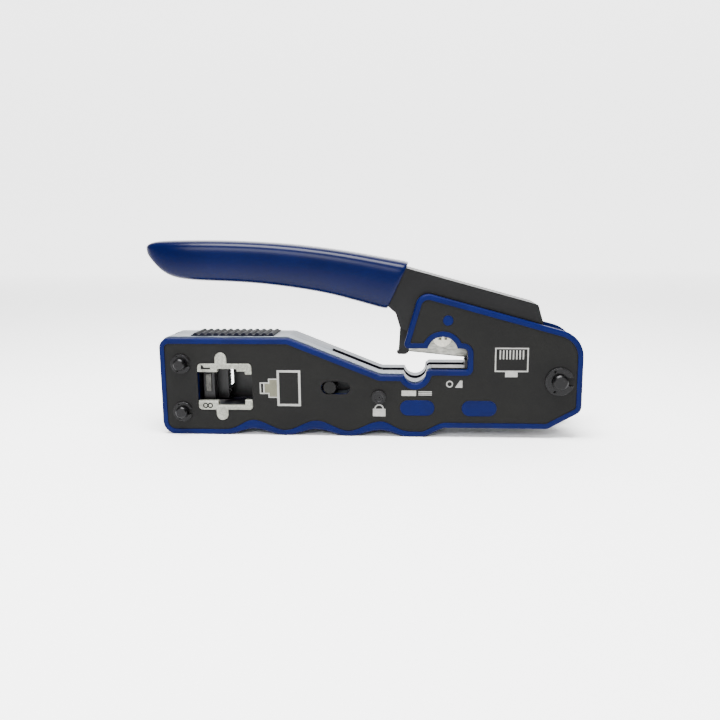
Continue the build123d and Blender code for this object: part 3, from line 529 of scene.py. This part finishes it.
def thumb_rib_tree():
    """Geometry nodes: round-ended ribs side by side on a base strip."""
    tree = bpy.data.node_groups.new("thumb_ribs", "GeometryNodeTree")
    tree.interface.new_socket("Geometry", in_out="INPUT", socket_type="NodeSocketGeometry")
    for label, kind in (("Rib count", "NodeSocketInt"), ("Pitch", "NodeSocketFloat"),
                        ("Rib radius", "NodeSocketFloat"), ("Rib start", "NodeSocketVector"),
                        ("Rib end", "NodeSocketVector"), ("Base size", "NodeSocketVector"),
                        ("Base centre", "NodeSocketVector"), ("Nylon", "NodeSocketMaterial")):
        tree.interface.new_socket(label, in_out="INPUT", socket_type=kind)
    tree.interface.new_socket("Geometry", in_out="OUTPUT", socket_type="NodeSocketGeometry")
    nodes, links = tree.nodes, tree.links
    start, end = nodes.new("NodeGroupInput"), nodes.new("NodeGroupOutput")
    line = nodes.new("GeometryNodeCurvePrimitiveLine")
    links.new(start.outputs["Rib start"], line.inputs["Start"])
    links.new(start.outputs["Rib end"], line.inputs["End"])
    finer = nodes.new("GeometryNodeResampleCurve")
    finer.inputs["Count"].default_value = 25
    links.new(line.outputs[0], finer.inputs["Curve"])
    along = nodes.new("GeometryNodeSplineParameter")
    rounding = nodes.new("ShaderNodeFloatCurve")
    curve = rounding.mapping.curves[0]
    curve.points[0].location = (0.0, 0.02)
    curve.points[1].location = (1.0, 0.02)
    for x, y in ((0.02, 0.55), (0.05, 0.86), (0.09, 1.0), (0.91, 1.0), (0.95, 0.86), (0.98, 0.55)):
        curve.points.new(x, y)
    rounding.mapping.update()
    links.new(along.outputs["Factor"], rounding.inputs["Value"])
    thick = nodes.new("GeometryNodeSetCurveRadius")
    links.new(finer.outputs[0], thick.inputs["Curve"])
    links.new(rounding.outputs[0], thick.inputs["Radius"])
    circle = nodes.new("GeometryNodeCurvePrimitiveCircle")
    circle.inputs["Resolution"].default_value = 20
    links.new(start.outputs["Rib radius"], circle.inputs["Radius"])
    sweep = nodes.new("GeometryNodeCurveToMesh")
    sweep.inputs["Fill Caps"].default_value = True
    links.new(thick.outputs[0], sweep.inputs["Curve"])
    links.new(circle.outputs[0], sweep.inputs["Profile Curve"])
    links.new(rounding.outputs[0], sweep.inputs["Scale"])
    step = nodes.new("ShaderNodeCombineXYZ")
    links.new(start.outputs["Pitch"], step.inputs["X"])
    row = nodes.new("GeometryNodeMeshLine")
    links.new(start.outputs["Rib count"], row.inputs["Count"])
    links.new(step.outputs[0], row.inputs["Offset"])
    spread = nodes.new("GeometryNodeInstanceOnPoints")
    links.new(row.outputs[0], spread.inputs["Points"])
    links.new(sweep.outputs[0], spread.inputs["Instance"])
    base = nodes.new("GeometryNodeMeshCube")
    links.new(start.outputs["Base size"], base.inputs["Size"])
    place = nodes.new("GeometryNodeTransform")
    links.new(base.outputs[0], place.inputs["Geometry"])
    links.new(start.outputs["Base centre"], place.inputs["Translation"])
    joined = nodes.new("GeometryNodeJoinGeometry")
    links.new(spread.outputs[0], joined.inputs[0])
    links.new(place.outputs[0], joined.inputs[0])
    real = nodes.new("GeometryNodeRealizeInstances")
    links.new(joined.outputs[0], real.inputs[0])
    paint = nodes.new("GeometryNodeSetMaterial")
    links.new(real.outputs[0], paint.inputs["Geometry"])
    links.new(start.outputs["Nylon"], paint.inputs["Material"])
    links.new(paint.outputs[0], end.inputs[0])
    return tree


pad_nylon = finish_of(
    "pad_nylon", ink(2, 3, 13), ink(4, 6, 20), ink(46, 56, 86), 0.5,
    rough_swing=0.05, grain=2400, mottle=200, relief=0.000008, edge=0.0001, spread=1.0,
    speck=0.12, specular=0.04)
RIB_COUNT = 12
RIB_RADIUS = 0.94 * MM
RIB_PITCH = 2.38 * MM
PAD_BASE = 0.3 * MM
PAD_MARGIN = 0.02 * MM
pad_mid_x = (PAD_LOW[0] + PAD_HIGH[0]) / 2
first_x = pad_mid_x - RIB_PITCH * (RIB_COUNT - 1) / 2
rib_z = PAD_HIGH[2] - RIB_RADIUS - 0.01 * MM
thumb_ribs = grown("thumb_ribs", thumb_rib_tree(), {
    "Rib count": RIB_COUNT, "Pitch": RIB_PITCH, "Rib radius": RIB_RADIUS,
    "Rib start": (first_x, PAD_LOW[1] + PAD_MARGIN, rib_z),
    "Rib end": (first_x, PAD_HIGH[1] - PAD_MARGIN, rib_z),
    "Base size": (PAD_HIGH[0] - PAD_LOW[0], PAD_HIGH[1] - PAD_LOW[1], PAD_BASE),
    "Base centre": (pad_mid_x, 0, PAD_LOW[2] + PAD_BASE / 2), "Nylon": pad_nylon})
for polygon in thumb_ribs.data.polygons:
    polygon.use_smooth = True
soften = thumb_ribs.modifiers.new("crisp", "EDGE_SPLIT")
soften.split_angle = math.radians(50)
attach(thumb_ribs, "body")
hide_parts("thumb_pad")

# ---- Handle frame -------------------------------------------------------
# A folded steel channel with a smooth semi-gloss black coat. The latch plate
# and its spacers are riveted between the cheeks.

black_enamel = finish_of(
    "black_enamel", ink(5, 5, 6), ink(8, 8, 9), ink(42, 42, 42), 0.36,
    rough_swing=0.08, grain=1800, mottle=80, relief=0.00001, edge=0.0003, spread=2.0,
    speck=0.15, specular=0.15)
dress(black_enamel, "handle_frame", "latch_plate", "plate_rivets")

# ---- Dipped grip --------------------------------------------------------
# The channel is dipped in blue vinyl. The skin is full and rounded at the
# nose, a little flat on its sides, and ends in a square cut at the channel.

grip_vinyl = finish_of(
    "dipped_vinyl", ink(0, 4, 36), ink(0, 6, 44), ink(8, 18, 66), 0.24,
    rough_swing=0.04, grain=700, mottle=45, relief=0.000005, edge=0.0004, spread=0.3,
    speck=0.05, specular=0.11)
GRIP_POINTS = 24                 # points round each section
GRIP_SQUARENESS = 4.4            # 2 would be an ellipse, more is squarer
# Stations from the open end to the nose, in millimetres: top point, bottom
# point, half width.
GRIP_STATIONS = [
    ((16.9, 57.9), (9.7, 42.4), 8.4), ((15.2, 58.3), (8.3, 42.5), 8.4),
    ((8.0, 59.6), (2.2, 44.2), 8.25), ((-2.0, 61.5), (-7.2, 46.9), 8.25),
    ((-12.0, 63.0), (-15.6, 48.6), 8.25), ((-22.0, 64.2), (-25.1, 50.0), 8.25),
    ((-32.0, 65.0), (-34.0, 51.0), 8.25), ((-42.0, 65.5), (-43.0, 51.6), 8.25),
    ((-51.0, 65.7), (-51.5, 51.9), 8.2), ((-58.0, 65.75), (-58.2, 52.3), 8.0),
    ((-63.2, 65.7), (-63.0, 53.2), 7.5), ((-67.2, 65.6), (-66.6, 55.1), 6.7),
    ((-70.2, 65.2), (-69.4, 58.0), 5.6), ((-72.0, 64.3), (-71.4, 60.2), 3.9),
    ((-72.8, 63.3), (-72.6, 61.7), 2.0)]


def grip_loop(top, under, half):
    """One squarish rounded section of the grip."""
    top, under = Vector((top[0], 0, top[1])), Vector((under[0], 0, under[1]))
    middle, rise = (top + under) / 2, (top - under) / 2
    points = []
    for i in range(GRIP_POINTS):
        angle = math.tau * i / GRIP_POINTS
        c, s = math.cos(angle), math.sin(angle)
        power = 2 / GRIP_SQUARENESS
        across = math.copysign(abs(c) ** power, c)
        up = math.copysign(abs(s) ** power, s)
        points.append((middle + rise * up + Vector((0, half * across, 0))) * MM)
    return points


grip_mesh = bpy.data.meshes.new("dipped_grip")
build = bmesh.new()
loops = [[build.verts.new(p) for p in grip_loop(*station)] for station in GRIP_STATIONS]
for a, b in zip(loops, loops[1:]):
    for i in range(GRIP_POINTS):
        j = (i + 1) % GRIP_POINTS
        build.faces.new((a[i], b[i], b[j], a[j]))
build.faces.new(list(reversed(loops[-1])))
mouth_centre = sum((v.co for v in loops[0]), Vector()) / GRIP_POINTS
MOUTH_WALL, MOUTH_DEPTH = 0.12, Vector((-4.0, 0, 1.4)) * MM
mouth_inner = [build.verts.new(v.co.lerp(mouth_centre, MOUTH_WALL)) for v in loops[0]]
mouth_deep = [build.verts.new(v.co + MOUTH_DEPTH) for v in mouth_inner]
for a, b in ((mouth_inner, loops[0]), (mouth_deep, mouth_inner)):
    for i in range(GRIP_POINTS):
        j = (i + 1) % GRIP_POINTS
        build.faces.new((a[i], b[i], b[j], a[j]))
build.faces.new(mouth_deep)
bmesh.ops.recalc_face_normals(build, faces=build.faces)
build.to_mesh(grip_mesh)
build.free()
grip_mesh.materials.append(grip_vinyl)
for polygon in grip_mesh.polygons:
    polygon.use_smooth = True
dipped_grip = bpy.data.objects.new("dipped_grip", grip_mesh)
bpy.context.scene.collection.objects.link(dipped_grip)
smooth = dipped_grip.modifiers.new("skin", "SUBSURF")
smooth.levels = smooth.render_levels = 2
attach(dipped_grip, "handle")
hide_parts("handle_grip")

# ---- Return spring ------------------------------------------------------
# Music wire coiled round the bush between the cheeks, blackened like the pins.

dress(black_oxide, "return_spring")

# ---- Floor, light and camera --------------------------------------------
# A white sheet under and behind the tool, soft boxes over and in front of it.

floor_mesh = bpy.data.meshes.new("floor_sheet")
build = bmesh.new()
SHEET_HALF, BEND_Y, BEND_R, SHEET_TOP = 3.0, 1.0, 0.6, 3.0
profile = [(-2.0, 0.0)]
for i in range(13):
    turn = math.radians(7.5 * i)
    profile.append((BEND_Y + BEND_R * math.sin(turn), BEND_R * (1 - math.cos(turn))))
profile.append((BEND_Y + BEND_R, SHEET_TOP))
left_edge = [build.verts.new((-SHEET_HALF, y, z)) for y, z in profile]
right_edge = [build.verts.new((SHEET_HALF, y, z)) for y, z in profile]
for i in range(len(profile) - 1):
    build.faces.new((left_edge[i], right_edge[i], right_edge[i + 1], left_edge[i + 1])).smooth = True
build.to_mesh(floor_mesh)
build.free()
paper = bpy.data.materials.new("paper_sheet")
paper.use_nodes = True
sheet = paper.node_tree.nodes["Principled BSDF"]
sheet.inputs["Base Color"].default_value = (0.9, 0.9, 0.9, 1)
sheet.inputs["Roughness"].default_value = 0.9
sheet.inputs["Specular IOR Level"].default_value = 0.1
sheet.inputs["Emission Color"].default_value = (1, 1, 1, 1)
# The sheet glows as a backdrop, evenly under the tool and more towards its back.
# Ambient occlusion, squared, dims the glow where the tool stands over it: a painted shadow.
nodes, links = paper.node_tree.nodes, paper.node_tree.links
place, split = nodes.new("ShaderNodeTexCoord"), nodes.new("ShaderNodeSeparateXYZ")
glow, shade = nodes.new("ShaderNodeMapRange"), nodes.new("ShaderNodeAmbientOcclusion")
both = nodes.new("ShaderNodeMath")
glow.inputs["From Min"].default_value, glow.inputs["From Max"].default_value = 0.1, 1.3
glow.inputs["To Min"].default_value, glow.inputs["To Max"].default_value = 0.95, 2.6
shade.inputs["Distance"].default_value = 0.04
both.operation = "MULTIPLY"
deepen = nodes.new("ShaderNodeMath")
deepen.operation = "POWER"
deepen.inputs[1].default_value = 2.0
links.new(place.outputs["Object"], split.inputs[0])
links.new(split.outputs["Y"], glow.inputs["Value"])
links.new(glow.outputs["Result"], both.inputs[0])
# Painted shadow under the tool: the occlusion term darkens the glow.
links.new(shade.outputs["AO"], deepen.inputs[0])
links.new(deepen.outputs[0], both.inputs[1])
links.new(both.outputs[0], sheet.inputs["Emission Strength"])
floor_mesh.materials.append(paper)
floor = bpy.data.objects.new("floor_sheet", floor_mesh)
bpy.context.scene.collection.objects.link(floor)

world = bpy.data.worlds.new("studio")
world.use_nodes = True
world.node_tree.nodes["Background"].inputs["Color"].default_value = (1, 1, 1, 1)
world.node_tree.nodes["Background"].inputs["Strength"].default_value = 0.36
bpy.context.scene.world = world


def soft_box(name, place, aim, width, height, power):
    """A rectangular soft light aimed at a point, in metres and watts."""
    lamp = bpy.data.lights.new(name, "AREA")
    lamp.shape = "RECTANGLE"
    lamp.size, lamp.size_y, lamp.energy = width, height, power
    holder = bpy.data.objects.new(name, lamp)
    way = (Vector(aim) - Vector(place)).to_track_quat("-Z", "Y")
    holder.matrix_world = Matrix.Translation(place) @ way.to_matrix().to_4x4()
    bpy.context.scene.collection.objects.link(holder)


soft_box("top_box", (-0.02, -0.10, 0.45), (0, 0, 0.03), 0.34, 0.22, 9.0)
soft_box("front_box", (-0.12, -0.5, 0.30), (0, 0, 0.03), 0.30, 0.20, 3.0)

CAMERA_PLACE = Vector((0.02003, -0.24185, 0.06758))
PITCH, YAW, ROLL = math.radians(10.09), math.radians(4.73), math.radians(0.54)
ahead = Vector((-math.sin(YAW) * math.cos(PITCH), math.cos(YAW) * math.cos(PITCH), -math.sin(PITCH)))
right = Vector((math.cos(YAW), math.sin(YAW), 0))
up = right.cross(ahead)
rolled_right = right * math.cos(ROLL) - up * math.sin(ROLL)
rolled_up = right * math.sin(ROLL) + up * math.cos(ROLL)
lens = bpy.data.cameras.new("camera")
lens.lens = 35.7
lens.sensor_width = 36.0
lens.clip_start = 0.01
camera = bpy.data.objects.new("camera", lens)
camera.matrix_world = Matrix((
    (rolled_right.x, rolled_up.x, -ahead.x, CAMERA_PLACE.x),
    (rolled_right.y, rolled_up.y, -ahead.y, CAMERA_PLACE.y),
    (rolled_right.z, rolled_up.z, -ahead.z, CAMERA_PLACE.z),
    (0, 0, 0, 1)))
bpy.context.scene.collection.objects.link(camera)
bpy.context.scene.camera = camera
